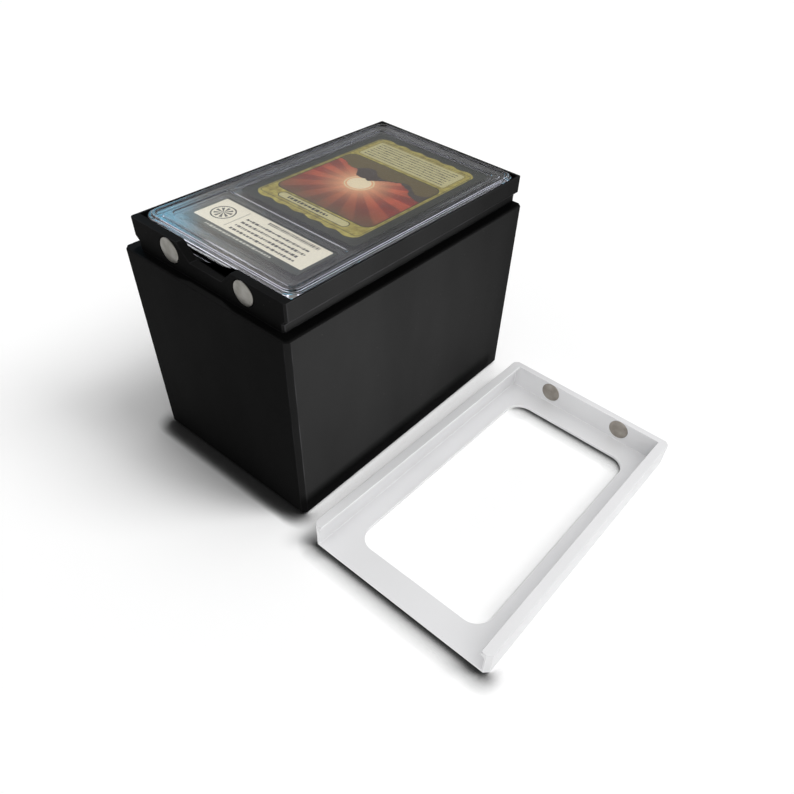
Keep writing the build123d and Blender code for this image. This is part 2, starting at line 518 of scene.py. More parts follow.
@dataclass(frozen=True)
class ClearPlastic(Polished):
    """Clear polished plastic, which lets lamp light through to what it covers."""

    ior: float = 1.49

    def wire(self, graph: Graph) -> Socket:
        """Build clear plastic with smudges.

        Args:
            graph: The material's graph.

        Returns:
            The shader, mixed with a transparent one for shadow rays and diffuse rays.
        """
        made = self.marks(graph, graph.place(), smudge_scale=70.0)
        body = graph.principled(
            Base_Color=self.colour,
            Transmission_Weight=1.0,
            IOR=self.ior,
            Roughness=made["Roughness"],
        )
        clear = graph.node("ShaderNodeBsdfTransparent", self.colour).outputs[0]
        through = graph.path("Shadow", "Diffuse")
        return graph.node("ShaderNodeMixShader", through, body, clear).outputs[0]


@dataclass(frozen=True)
class Ink(Finish):
    """Printing ink that lies on paper and is thin in places."""

    colour: Colour
    thin: Colour

    def wire(self, graph: Graph) -> Socket:
        """Build uneven ink.

        Args:
            graph: The material's graph.

        Returns:
            The surface's shader.
        """
        thin = graph.patches(graph.place(), 2600.0, 2.0, 0.4, 0.75)
        return graph.principled(
            Base_Color=graph.mix(thin, self.colour, self.thin),
            Roughness=graph.remap(thin, 0.0, 1.0, 0.4, 0.6),
            Normal=graph.bump(thin, depth=0.000004),
        )


@dataclass(frozen=True)
class PlainStock(Finish):
    """Unprinted paper or board with flecks of fibre."""

    colour: Colour
    fleck: Colour

    def wire(self, graph: Graph) -> Socket:
        """Build paper with fibres.

        Args:
            graph: The material's graph.

        Returns:
            The surface's shader.
        """
        long = graph.vector("MULTIPLY", graph.place(), (1.0, 0.25, 1.0))
        fibre = graph.patches(long, 3200.0, 3.0, 0.35, 0.7)
        return graph.principled(
            Base_Color=graph.mix(fibre, self.colour, self.fleck),
            Roughness=0.7,
            Normal=graph.bump(fibre, depth=0.000006),
        )


@dataclass(frozen=True)
class Print(Finish):
    """A printed face, drawn in millimetres from its centre."""

    centre: Point

    def around(self, graph: Graph, metres: Socket) -> Socket:
        """Turn object coordinates into millimetres from the face's centre."""
        scaled = graph.vector("SCALE", metres, Scale=1 / MM)
        return graph.vector("SUBTRACT", scaled, (*self.centre, 0.0))

    def panel(self, graph: Graph, where: Socket, centre: Point, half: Point, corner: float) -> Socket:
        """Mask one panel of the print, from its centre, half its sides and its corners."""
        given = {"Centre": (*centre, 0.0), "Half_Size": (*half, 0.0), "Corner": corner}
        return graph.effect(PrintedPanel(), Place=where, **given)["Mask"]


@dataclass(frozen=True)
class LabelPrint(Print):
    """Printed face of the label: a dark sheet with a pale field and a badge."""

    sheet: Colour
    pale: Colour
    dark: Colour

    def wire(self, graph: Graph) -> Socket:
        """Build the field, its rule and the badge.

        Args:
            graph: The material's graph.

        Returns:
            The surface's shader.
        """
        metres = graph.place()
        at = self.around(graph, metres)
        panel = partial(self.panel, graph, at)
        tone = graph.patches(metres, 900.0, 3.0, 0.3, 0.7)
        paper = graph.mix(tone, dimmed(self.pale, share=0.93), self.pale)
        badge = graph.effect(SunRays(), Place=at, Centre=(1.3, 21.4, 0.0), Rays=9.0, Radius=3.7)
        colour = graph.coats(
            graph.mix(tone, dimmed(self.sheet, share=0.75), self.sheet),
            (panel((1.45, 0.0), (8.2, 29.0), 0.5), paper),
            (panel((1.45, 13.6), (6.6, 0.12), 0.1), self.dark),
            (badge["Ring"], self.dark),
            (graph.math("MULTIPLY", badge["Disc"], badge["Ray"]), self.dark),
        )
        return graph.principled(
            Base_Color=colour,
            Roughness=graph.remap(tone, 0.0, 1.0, 0.5, 0.42),
            Normal=graph.bump(tone, depth=0.000003),
        )


@dataclass(frozen=True)
class CardPrint(Print):
    """Printed face of the card: a dark border, a gold frame, a sunrise and two plates."""

    border: Colour
    gold: Colour
    bronze: Colour
    cream: Colour

    def framed(self, graph: Graph, at: Socket, gold: Socket) -> Socket:
        """Colour the frame, which has a scalloped edge at both ends and a fine line.

        Args:
            graph: The material's graph.
            at: Millimetres from the card's centre.
            gold: The frame's colour.

        Returns:
            The colour of border and frame.
        """
        x, y, _ = graph.parts(at)
        scallop = graph.math("MULTIPLY", graph.math("COSINE", graph.math("MULTIPLY", y, 0.7)), 0.5)
        waved = graph.math("MULTIPLY_ADD", scallop, graph.math("SIGN", x), x)
        plate = self.panel(graph, graph.join(waved, y, 0.0), (0.0, 0.0), (39.6, 27.6), 3.0)
        outer = self.panel(graph, at, (0.0, 0.0), (37.5, 27.1), 2.0)
        inner = self.panel(graph, at, (0.0, 0.0), (37.2, 26.8), 1.7)
        line = graph.math("SUBTRACT", outer, inner)
        return graph.coats(self.border, (plate, gold), (line, self.border))

    def sunrise(self, graph: Graph, metres: Socket, at: Socket) -> Socket:
        """Colour the picture: rays round a low sun over two lines of hills.

        Args:
            graph: The material's graph.
            metres: Object coordinates.
            at: Millimetres from the card's centre.

        Returns:
            The picture's colour.
        """
        x, y, _ = graph.parts(at)
        sun = graph.effect(SunRays(), Place=at, Centre=(-3.5, 3.0, 0.0), Rays=14.0, Radius=5.2)
        haze = graph.patches(metres, 150.0, 5.0, 0.32, 0.68)

        def hill(shift: float, height: float, period: float, rough: float) -> Socket:
            """Mask one line of hills.

            Args:
                shift: Where its wave starts, in radians.
                height: The wave's height.
                period: The wave's radians in a millimetre.
                rough: How far haze shifts it.

            Returns:
                The mask.
            """
            wave = graph.math("SINE", graph.math("MULTIPLY_ADD", y, period, shift))
            rise = graph.math("MULTIPLY_ADD", wave, height, graph.math("MULTIPLY", haze, rough))
            return graph.remap(graph.math("ADD", x, rise), 6.9, 7.1)

        dusk = graph.remap(graph.math("MULTIPLY_ADD", haze, 9.0, x), -27.0, -9.0, 0.85, 0.0)
        return graph.coats(
            srgb(150, 46, 40),
            (sun["Ray"], srgb(196, 84, 58)),
            (graph.math("MULTIPLY", haze, 0.6), srgb(96, 62, 50)),
            (graph.math("POWER", sun["Glow"], 2.4), srgb(240, 178, 136)),
            (sun["Ring"], srgb(236, 214, 170)),
            (sun["Disc"], srgb(246, 226, 190)),
            (hill(0.4, 3.6, 0.21, 3.5), srgb(70, 60, 56)),
            (hill(2.2, 2.2, 0.34, -2.5), srgb(98, 84, 52)),
            (dusk, srgb(86, 80, 54)),
        )

    def wire(self, graph: Graph) -> Socket:
        """Build the frame, the sunrise and the plates at the far and the near end.

        Args:
            graph: The material's graph.

        Returns:
            The surface's shader.
        """
        metres = graph.place()
        at = self.around(graph, metres)
        panel = partial(self.panel, graph, at)
        grain = graph.patches(metres, 420.0, 4.0, 0.3, 0.7)
        paper = graph.mix(grain, dimmed(self.cream, share=0.86), self.cream)
        colour = graph.coats(
            self.framed(graph, at, graph.mix(grain, self.bronze, self.gold)),
            (panel((-6.4, 0.0), (23.9, 26.2), 4.5), self.border),
            (panel((-6.4, 0.0), (23.4, 25.7), 4.0), self.sunrise(graph, metres, at)),
            (panel((27.6, 0.0), (8.7, 24.9), 1.6), self.bronze),
            (panel((27.6, 0.0), (8.2, 24.4), 1.2), paper),
            (panel((-33.6, 0.0), (2.3, 19.0), 2.3), self.border),
            (panel((-33.6, 0.0), (1.9, 18.6), 1.9), paper),
        )
        return graph.principled(
            Base_Color=colour,
            Roughness=graph.remap(grain, 0.0, 1.0, 0.38, 0.3),
            Normal=graph.bump(grain, depth=0.000004),
        )


@dataclass(frozen=True)
class CardBack(Finish):
    """Printed back of a sheet: a plain lattice, its pitch in radians in a millimetre."""

    ground: Colour
    line: Colour
    pitch: float = 0.9

    def wire(self, graph: Graph) -> Socket:
        """Build a diagonal lattice.

        Args:
            graph: The material's graph.

        Returns:
            The surface's shader.
        """
        metres = graph.place()
        x, y, _ = graph.parts(graph.vector("SCALE", metres, Scale=1 / MM))
        one, two = (
            graph.math("SINE", graph.math("MULTIPLY", graph.math(way, x, y), self.pitch))
            for way in ("ADD", "SUBTRACT")
        )
        mask = graph.remap(graph.math("MULTIPLY", one, two), -0.08, 0.08)
        tone = graph.remap(graph.noise(metres, 700.0, detail=3.0), 0.3, 0.7, 0.2, 1.0)
        return graph.principled(
            Base_Color=graph.mix(graph.math("MULTIPLY", mask, tone), self.ground, self.line),
            Roughness=graph.remap(tone, 0.0, 1.0, 0.5, 0.36),
            Normal=graph.bump(tone, depth=0.000004),
        )


BLACK_PLASTIC = MouldedPlastic(
    name="black_satin_plastic", colour=srgb(27, 27, 27), worn=srgb(40, 40, 41),
    dusty=srgb(54, 53, 51), roughness=0.5, specular=0.006, grain_depth=0.000018, flow_contrast=0.3,
)
WHITE_PLASTIC = MouldedPlastic(
    name="white_satin_plastic", colour=srgb(224, 224, 225), worn=srgb(238, 238, 239),
    dusty=srgb(196, 194, 190), roughness=0.4, specular=0.45, grain_depth=0.000012,
    flow_contrast=0.05,
)
BOX_NICKEL = NickelPlate(
    name="box_magnet_nickel", colour=srgb(128, 126, 120), cloudy=srgb(146, 144, 139), clean=0.28,
    smudged=0.5,
)
COVER_NICKEL = NickelPlate(
    name="cover_magnet_nickel", colour=srgb(150, 144, 136), cloudy=srgb(172, 166, 158), clean=0.3,
    smudged=0.52,
)
SHELL_CLEAR = ClearPlastic(
    name="clear_holder_shell", colour=srgb(251, 252, 252), clean=0.04, smudged=0.07
)
SHELL_FROSTED = ClearPlastic(
    name="frosted_grip_pad", colour=srgb(238, 238, 236), clean=0.45, smudged=0.6
)
WELL_CLEAR = ClearPlastic(name="clear_card_well", colour=srgb(244, 245, 244), clean=0.12, smudged=0.22)
DARK_INK = Ink(name="dark_ink", colour=srgb(38, 36, 34), thin=srgb(84, 80, 74))
PALE_INK = Ink(name="pale_ink", colour=srgb(216, 214, 204), thin=srgb(180, 178, 168))
CORE_STOCK = PlainStock(name="card_core", colour=srgb(214, 208, 196), fleck=srgb(188, 180, 166))


# ---------------------------------------------------------------- mesh building


def eased_profile(corners: list[tuple[float, float, float]], steps: int = 4) -> list[Point]:
    """Round the corners of a profile.

    Args:
        corners: Points of the profile, each with its radius.
        steps: Straight pieces in an arc.

    Returns:
        The rounded profile.
    """
    points = []
    for index, (across, up, radius) in enumerate(corners):
        here = Vector((across, up))
        if radius == 0 or index in (0, len(corners) - 1):
            points.append((across, up))
            continue
        back = (Vector(corners[index - 1][:2]) - here).normalized()
        ahead = (Vector(corners[index + 1][:2]) - here).normalized()
        half_angle = back.angle(ahead) / 2
        middle = here + (back + ahead).normalized() * (radius / math.sin(half_angle))
        start = here + back * (radius / math.tan(half_angle)) - middle
        end = here + ahead * (radius / math.tan(half_angle)) - middle
        for step in range(steps + 1):
            spoke = start.slerp(end, step / steps).normalized() * radius
            points.append(tuple(middle + spoke))
    return points


class MeshMaker:
    """Collects the loops and faces of one closed piece, in millimetres."""

    def __init__(self) -> None:
        """Start an empty mesh."""
        self.work = bmesh.new()

    def loop(self, points: list[Point], height: float) -> Ring:
        """Add a level loop of vertices."""
        return [self.work.verts.new((x, y, height)) for x, y in points]

    def ring(self, centre: Point, half: Point, corner: float, height: float) -> Ring:
        """Add a level rectangle with round corners.

        Args:
            centre: Its centre.
            half: Half its length and half its width.
            corner: Its corners' radius.
            height: Its height.

        Returns:
            Its vertices, anticlockwise.
        """
        steps, smallest = 8, 0.02
        radius = max(corner, smallest)
        points = []
        for quarter, (side_x, side_y) in enumerate(((1, 1), (-1, 1), (-1, -1), (1, -1))):
            middle_x = centre[0] + side_x * (half[0] - radius)
            middle_y = centre[1] + side_y * (half[1] - radius)
            for step in range(steps + 1):
                turn = math.pi / 2 * (quarter + step / steps)
                across, along = radius * math.cos(turn), radius * math.sin(turn)
                points.append((middle_x + across, middle_y + along))
        return self.loop(points, height)

    def stack(self, loops: list[Ring]) -> None:
        """Join each loop to the next of equal count with a band of faces.

        Args:
            loops: The loops, from the first to the last.
        """
        for lower, upper in zip(loops, loops[1:]):
            for index in range(len(lower)):
                after = (index + 1) % len(lower)
                self.work.faces.new((lower[index], lower[after], upper[after], upper[index]))

    def wall(self, profile: list[Point], centre: Point, half: Point, corner: float) -> list[Ring]:
        """Run a profile round a rectangle.

        Args:
            profile: Its points, each an inset and a height.
            centre: The rectangle's centre.
            half: Half its length and half its width.
            corner: Its corners' radius.

        Returns:
            The ring at each point.
        """
        rings = [
            self.ring(centre, (half[0] - inset, half[1] - inset), corner - inset, height)
            for inset, height in profile
        ]
        self.stack(rings)
        return rings

    def cap(self, ring: Ring, holes: list[Ring] | None = None, material: int = 0) -> None:
        """Close the flat space inside a loop.

        Args:
            ring: The loop.
            holes: Loops inside it that stay open.
            material: Material slot of the face, where there are no holes.
        """
        if not holes:
            self.work.faces.new(ring).material_index = material
            return
        flat = [vertex for loop in (ring, *holes) for vertex in loop]
        outlines = [[vertex.co.copy() for vertex in loop] for loop in (ring, *holes)]
        for corners in tessellate_polygon(outlines):
            self.work.faces.new([flat[index] for index in corners])

    def piece(self, name: str, finishes: list[Finish]) -> Thing:
        """Turn what was collected into an object in metres.

        Args:
            name: The object's name.
            finishes: Its finishes, in the order of its material slots.

        Returns:
            The object, at the origin and unscaled.
        """
        bmesh.ops.recalc_face_normals(self.work, faces=self.work.faces[:])
        bmesh.ops.scale(self.work, vec=(MM, MM, MM), verts=self.work.verts[:])
        mesh = bpy.data.meshes.new(name)
        self.work.to_mesh(mesh)
        self.work.free()
        return placed(name, eased_normals(mesh), finishes)


def linked(name: str, data: bpy.types.ID) -> Thing:
    """Make an object of a mesh, a light or a camera and put it in the scene.

    Args:
        name: The object's name.
        data: What it shows.

    Returns:
        The object.
    """
    made = bpy.data.objects.new(name, data)
    bpy.context.scene.collection.objects.link(made)
    return made


def placed(name: str, mesh: bpy.types.Mesh, finishes: list[Finish]) -> Thing:
    """Make an object of a mesh and give it its finishes.

    Args:
        name: The object's name.
        mesh: Its mesh.
        finishes: Its finishes, in the order of its material slots.

    Returns:
        The object.
    """
    mesh.name = name
    mesh.materials.clear()
    for finish in finishes:
        mesh.materials.append(finish.material())
    return linked(name, mesh)


def settled(carrier: Thing) -> bpy.types.Mesh:
    """Give the mesh that an object's modifiers make, and remove the object.

    Args:
        carrier: The object.

    Returns:
        The new mesh.
    """
    graph = bpy.context.evaluated_depsgraph_get()
    made = bpy.data.meshes.new_from_object(carrier.evaluated_get(graph))
    bpy.data.objects.remove(carrier)
    return made


def fitted(made: Thing, node: str | None, slot: Slot, body: Body) -> Thing:
    """Hide the solid that a piece replaces, and hang the piece on its body.

    Args:
        made: The piece.
        node: The solid that it replaces, if it replaces one.
        slot: The record's material slot; not used.
        body: The body that it rides on.

    Returns:
        The piece.
    """
    if node:
        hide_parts(node)
    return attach(made, body.value)


def breadth(face: bmesh.types.BMFace) -> float:
    """Give a face's area over its longest edge."""
    return face.calc_area() / max(edge.calc_length() for edge in face.edges)


def eased_normals(
    mesh: bpy.types.Mesh, narrow: float = 0.55, gentle: float = 28.0, steep: float = 62.0
) -> bpy.types.Mesh:
    """Shade a mesh so that large faces stay flat and narrow ones look round.

    Args:
        mesh: The mesh.
        narrow: Width up to which a face counts as a rounded edge, in millimetres.
        gentle: Turn in degrees up to which any edge is smooth.
        steep: Turn in degrees up to which the edge of a narrow face is smooth.

    Returns:
        A new mesh with its normals settled.
    """
    work = bmesh.new()
    work.from_mesh(mesh)
    slim = {}
    for face in work.faces:
        face.smooth = True
        slim[face.index] = breadth(face) < narrow * MM
    for edge in work.edges:
        turn = math.degrees(edge.calc_face_angle(0.0))
        rounded = any(slim[face.index] for face in edge.link_faces)
        edge.smooth = turn < gentle or (rounded and turn < steep)
    work.to_mesh(mesh)
    work.free()
    carrier = linked("shading_carrier", mesh)
    settle = carrier.modifiers.new("settle", "WEIGHTED_NORMAL")
    settle.keep_sharp = True
    settle.weight = 100
    return settled(carrier)


@dataclass(frozen=True)
class EdgeSoftener:
    """Rounds the sharp edges of a moulding, as its mould does.

    Edges that turn less than sharpest, in degrees, or lie on a face narrower than slim
    are left.  Before that, vertices closer than merge become one, and so do faces that
    turn less than flat, in degrees.
    """

    width: float = 0.2
    sharpest: float = 30.0
    slim: float = 0.6
    segments: int = 2
    merge: float = 0.002
    flat: float = 0.4

    def copy_of(self, node: Thing, name: str) -> bpy.types.Mesh:
        """Copy a solid's mesh, merge it and round its edges.

        Args:
            node: The solid.
            name: Name of the new mesh.

        Returns:
            The new mesh, with edge_wear set on its rounded faces.
        """
        work = bmesh.new()
        work.from_mesh(node.data)
        bmesh.ops.remove_doubles(work, verts=work.verts[:], dist=self.merge * MM)
        bmesh.ops.dissolve_limit(
            work,
            angle_limit=math.radians(self.flat),
            verts=work.verts[:],
            edges=work.edges[:],
            delimit=set(),
        )
        slim = {face for face in work.faces if breadth(face) < self.slim * MM}
        sharp = [
            edge
            for edge in work.edges
            if edge.calc_face_angle(0.0) > math.radians(self.sharpest)
            and slim.isdisjoint(edge.link_faces)
        ]
        worn = work.faces.layers.float.new("edge_wear")
        made = bmesh.ops.bevel(
            work,
            geom=sharp,
            offset=self.width * MM,
            offset_type="OFFSET",
            segments=self.segments,
            profile=0.5,
            affect="EDGES",
            clamp_overlap=False,
            material=-1,
        )
        for face in made["faces"]:
            face[worn] = 1.0
        mesh = bpy.data.meshes.new(name)
        work.to_mesh(mesh)
        work.free()
        return eased_normals(mesh)


# ---------------------------------------------------------------- printed rows


class PrintedRows(SharedTree):
    """Rows of bars that stand for small print, made by a geometry tree."""

    name = "printed_rows"
    kind = "GeometryNodeTree"
    inputs = {
        "Int": ("Rows", "Bars In Row", "Seed"),
        "Float": (
            *("Row Pitch", "Row Length", "Bar Height", "Lowest Bar"),
            *("Shortest", "Longest", "Gap", "Thickness"),
        ),
        "Material": ("Ink",),
    }
    outputs = {"Geometry": ("Geometry",)}

    @staticmethod
    def chance(graph: Graph, low: Socket, high: float | Socket, seed: Socket) -> Socket:
        """Give each bar a random number from low to high."""
        given = {"start": 2, "data_type": "FLOAT", "Seed": seed}
        return graph.node("FunctionNodeRandomValue", low, high, **given).outputs[1]

    def wire(self, graph: Graph, given: Sockets) -> dict[str, Socket]:
        """Build rows that run along +X and follow one another towards -Y.

        Args:
            graph: The group's graph.
            given: The group's inputs.

        Returns:
            The socket for each output name.
        """
        count = graph.math("MULTIPLY", given["Rows"], given["Bars In Row"])
        line = graph.node("GeometryNodeMeshLine", mode="OFFSET", Count=count)
        index = graph.node("GeometryNodeInputIndex").outputs[0]
        row = graph.math("FLOOR", graph.math("DIVIDE", index, given["Bars In Row"]))
        length = self.chance(graph, given["Shortest"], given["Longest"], given["Seed"])
        taken = graph.math("ADD", length, given["Gap"])
        total = graph.node("GeometryNodeAccumulateField", taken, data_type="FLOAT", Group_ID=row)
        middle = graph.math("MULTIPLY_ADD", length, 0.5, total.outputs["Trailing"])
        down = graph.math("MULTIPLY", graph.math("MULTIPLY", row, given["Row Pitch"]), -1.0)
        spread = graph.node(
            "GeometryNodeSetPosition",
            line.outputs[0],
            Position=graph.join(middle, down, 0.0),
        )
        points = graph.node("GeometryNodeMeshToPoints", spread.outputs[0])
        keep = graph.node(
            "GeometryNodeStoreNamedAttribute",
            points.outputs[0],
            data_type="FLOAT",
            domain="POINT",
            Name="bar_length",
            Value=length,
        )
        place_x = graph.parts(graph.node("GeometryNodeInputPosition").outputs[0])[0]
        bar_length = graph.node(
            "GeometryNodeInputNamedAttribute", data_type="FLOAT", Name="bar_length"
        ).outputs[0]
        reach = graph.math("MULTIPLY_ADD", bar_length, 0.5, place_x)
        kept = graph.node(
            "GeometryNodeDeleteGeometry",
            keep.outputs[0],
            graph.math("GREATER_THAN", reach, given["Row Length"]),
            domain="POINT",
        )
        size = graph.join(1.0, given["Bar Height"], given["Thickness"])
        bar = graph.node("GeometryNodeMeshCube", Size=size)
        next_seed = graph.math("ADD", given["Seed"], 1.0)
        height = self.chance(graph, given["Lowest Bar"], 1.0, next_seed)
        repeat = graph.node(
            "GeometryNodeInstanceOnPoints",
            Points=kept.outputs[0],
            Instance=bar.outputs[0],
            Scale=graph.join(bar_length, height, 1.0),
        )
        real = graph.node("GeometryNodeRealizeInstances", repeat.outputs[0])
        inked = graph.node("GeometryNodeSetMaterial", real.outputs[0], Material=given["Ink"])
        return {"Geometry": inked.outputs[0]}


# ---------------------------------------------------------------- sub-assemblies


@dataclass(frozen=True)
class Magnet:
    """A nickel-plated disc magnet with rounded edges.

    It is placed by the centre of its face and by the way that looks, in degrees from +X.
    The rim is the width of the ring of faces inside an edge.
    """

    name: str
    node: str
    centre: Place
    turn: float
    body: Body
    finish: NickelPlate
    diameter: float = 10.0
    thickness: float = 2.0
    edge: float = 0.3
    rim: float = 1.4
    steps: int = 72

    def build(self) -> Thing:
        """Turn the disc and set it in its pocket.

        Returns:
            The magnet.
        """
        radius = self.diameter / 2
        corners = [
            (radius - self.rim, 0.0, 0.0),
            (radius, 0.0, self.edge),
            (radius, -self.thickness, self.edge),
            (radius - self.rim, -self.thickness, 0.0),
        ]
        maker = MeshMaker()
        turns = [math.tau * step / self.steps for step in range(self.steps)]
        loops = [
            maker.loop([(across * math.cos(a), across * math.sin(a)) for a in turns], up)
            for across, up in eased_profile(corners, steps=5)
        ]
        maker.stack(loops)
        maker.cap(loops[0])
        maker.cap(loops[-1])
        made = maker.piece(self.name, [self.finish])
        turn = Matrix.Rotation(math.radians(self.turn), 4, "Z")
        upright = Matrix.Rotation(math.radians(90), 4, "Y")
        made.data.transform(Matrix.Translation(Vector(self.centre) * MM) @ turn @ upright)
        return fitted(made, self.node, Slot.NICKEL, self.body)


@dataclass
class CasePart:
    """A one-piece moulding and the two disc magnets let into it.

    The centre and the turn, in degrees, say where it lies.  The magnets' faces and their
    distance to either side are counted from that centre.
    """

    body: Body
    node: str
    slot: Slot
    plastic: MouldedPlastic
    nickel: NickelPlate
    magnet_face: float
    magnet_height: float
    magnet_side: float = 20.0
    centre: Point = (0.0, 0.0)
    turn: float = 0.0
    softener: EdgeSoftener = EdgeSoftener()

    def at(self, along: float, across: float, up: float) -> Place:
        """Turn a place on the part into one in the scene.

        Args:
            along: Distance along the part from its centre.
            across: Distance across it.
            up: Height.

        Returns:
            The place in the scene.
        """
        cosine, sine = math.cos(math.radians(self.turn)), math.sin(math.radians(self.turn))
        x = self.centre[0] + along * cosine - across * sine
        y = self.centre[1] + along * sine + across * cosine
        return (x, y, up)

    def moulding(self) -> Thing:
        """Copy the solid, round its edges and dress it.

        Returns:
            The moulding.
        """
        name = f"{self.body.value}_moulding"
        mesh = self.softener.copy_of(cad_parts[self.node], name)
        return fitted(placed(name, mesh, [self.plastic]), self.node, self.slot, self.body)

    def magnet(self, side: str, across: float) -> Thing:
        """Set one magnet.

        Args:
            side: Which one it is.
            across: How far it is from the middle.

        Returns:
            The magnet.
        """
        return Magnet(
            name=f"{self.body.value}_disc_{side}",
            node=f"{self.body.value}_magnet_{side}",
            centre=self.at(self.magnet_face, across, self.magnet_height),
            turn=180.0 + self.turn,
            body=self.body,
            finish=self.nickel,
        ).build()

    def build(self) -> list[Thing]:
        """Build and dress the moulding and its magnets."""
        sides = {"left": self.magnet_side, "right": -self.magnet_side}
        return [self.moulding(), *(self.magnet(*side) for side in sides.items())]


@dataclass
class CaseBox(CasePart):
    """The black box with its rim, rails and finger notch."""

    body: Body = Body.BOX
    node: str = "box_body"
    slot: Slot = Slot.BOX_PLASTIC
    plastic: MouldedPlastic = BLACK_PLASTIC
    nickel: NickelPlate = BOX_NICKEL
    magnet_face: float = -69.1
    magnet_height: float = 99.2


@dataclass
class CaseCover(CasePart):
    """The white frame cover, lying with its open side up."""

    body: Body = Body.COVER
    node: str = "cover_frame"
    slot: Slot = Slot.COVER_PLASTIC
    plastic: MouldedPlastic = WHITE_PLASTIC
    nickel: NickelPlate = COVER_NICKEL
    magnet_face: float = 69.7
    magnet_height: float = 8.0
    centre: Point = (-7.9, -103.9)
    turn: float = -1.2


@dataclass(frozen=True)
class Panel:
    """A panel that stands so far above the face around it, or lies below it."""

    centre: Point
    half: Point
    corner: float
    height: float
    material: int = 0

    def sink(self, maker: MeshMaker, level: float, ease: float, slope: float) -> Ring:
        """Build the panel's walls and its flat face.

        Args:
            maker: Where it is built.
            level: Height of the face around it.
            ease: Radius of its edges.
            slope: How far its walls lean.

        Returns:
            The loop where it meets the face around it.
        """
        lean = slope / 2
        corners = [
            (-lean - ease * 2, level, 0.0),
            (-lean, level, ease),
            (lean, level + self.height, ease),
            (lean + ease * 2, level + self.height, 0.0),
        ]
        rings = maker.wall(eased_profile(corners, 3), self.centre, self.half, self.corner)
        maker.cap(rings[-1], material=self.material)
        return rings[0]


@dataclass(frozen=True)
class Sheet:
    """A printed sheet with a front, an edge and a back."""

    name: str
    node: str
    slot: Slot
    half: Point
    corner: float
    top: float
    face: Print
    reverse: CardBack
    bottom: float = 103.08
    ease: float = 0.08

    def build(self) -> Thing:
        """Build the sheet.

        Returns:
            The sheet.
        """
        corners = [
            (0.3, self.bottom, 0.0),
            (0.0, self.bottom, self.ease),
            (0.0, self.top, self.ease),
            (0.3, self.top, 0.0),
        ]
        maker = MeshMaker()
        centre = self.face.centre
        rings = maker.wall(eased_profile(corners, 2), centre, self.half, self.corner)
        for face in maker.work.faces:
            face.material_index = 1
        maker.cap(rings[0], material=2)
        maker.cap(rings[-1], material=0)
        made = maker.piece(self.name, [self.face, CORE_STOCK, self.reverse])
        return fitted(made, self.node, self.slot, Body.SLAB)


CARD = Sheet(
    name="card_sheet",
    node="trading_card",
    slot=Slot.CARD,
    half=(44.0, 31.5),
    corner=3.0,
    top=103.45,
    face=CardPrint(
        name="card_face", centre=(18.2, 0.0), border=srgb(44, 46, 40), gold=srgb(192, 178, 92),
        bronze=srgb(134, 118, 52), cream=srgb(204, 194, 144),
    ),
    reverse=CardBack(name="card_back", ground=srgb(52, 44, 58), line=srgb(96, 82, 88)),
)
LABEL = Sheet(
    name="label_sheet",
    node="grade_label",
    slot=Slot.LABEL,
    half=(10.25, 30.5),
    corner=0.8,
    top=103.35,
    face=LabelPrint(
        name="label_face", centre=(-43.35, 0.0), sheet=srgb(66, 70, 66), pale=srgb(248, 239, 220),
        dark=srgb(52, 50, 48),
    ),
    reverse=CardBack(name="label_back", ground=srgb(66, 70, 66), line=srgb(88, 92, 88)),
)


@dataclass(frozen=True)
class SmallPrint:
    """A block of small print, whose bars have random lengths and heights.

    It starts so far from the centre of its sheet.  The lowest bars are a share of the
    height of the highest ones.
    """

    name: str
    sheet: Sheet
    ink: Ink
    start: Point
    rows: int
    bars_in_row: int
    row_pitch: float
    row_length: float
    bar_height: float
    lowest_bar: float
    shortest: float
    longest: float
    gap: float
    seed: int
    thickness: float = 0.03

    def build(self) -> Thing:
        """Print the block on its sheet.

        Returns:
            The print, a plain mesh at the origin.
        """
        tree = PrintedRows().tree()
        carrier = linked("print_carrier", bpy.data.meshes.new("print_carrier"))
        printing = carrier.modifiers.new("printing", "NODES")
        printing.node_group = tree
        for item in tree.interface.items_tree:
            given = getattr(self, item.name.lower().replace(" ", "_"), None)
            if isinstance(given, Ink):
                given = given.material()
            elif isinstance(given, float) and item.name != "Lowest Bar":
                given *= MM
            if given is not None:
                printing[item.identifier] = given
        mesh = settled(carrier)
        x, y = (a + b for a, b in zip(self.sheet.face.centre, self.start))
        turn = Matrix.Rotation(math.radians(-90), 4, "Z") @ Matrix.Scale(-1, 4, (0, 1, 0))
        mesh.transform(Matrix.Translation(Vector((x, y, self.sheet.top)) * MM) @ turn)
        made = placed(self.name, mesh, [self.ink])
        made.data.flip_normals()
        return fitted(made, None, self.sheet.slot, Body.SLAB)


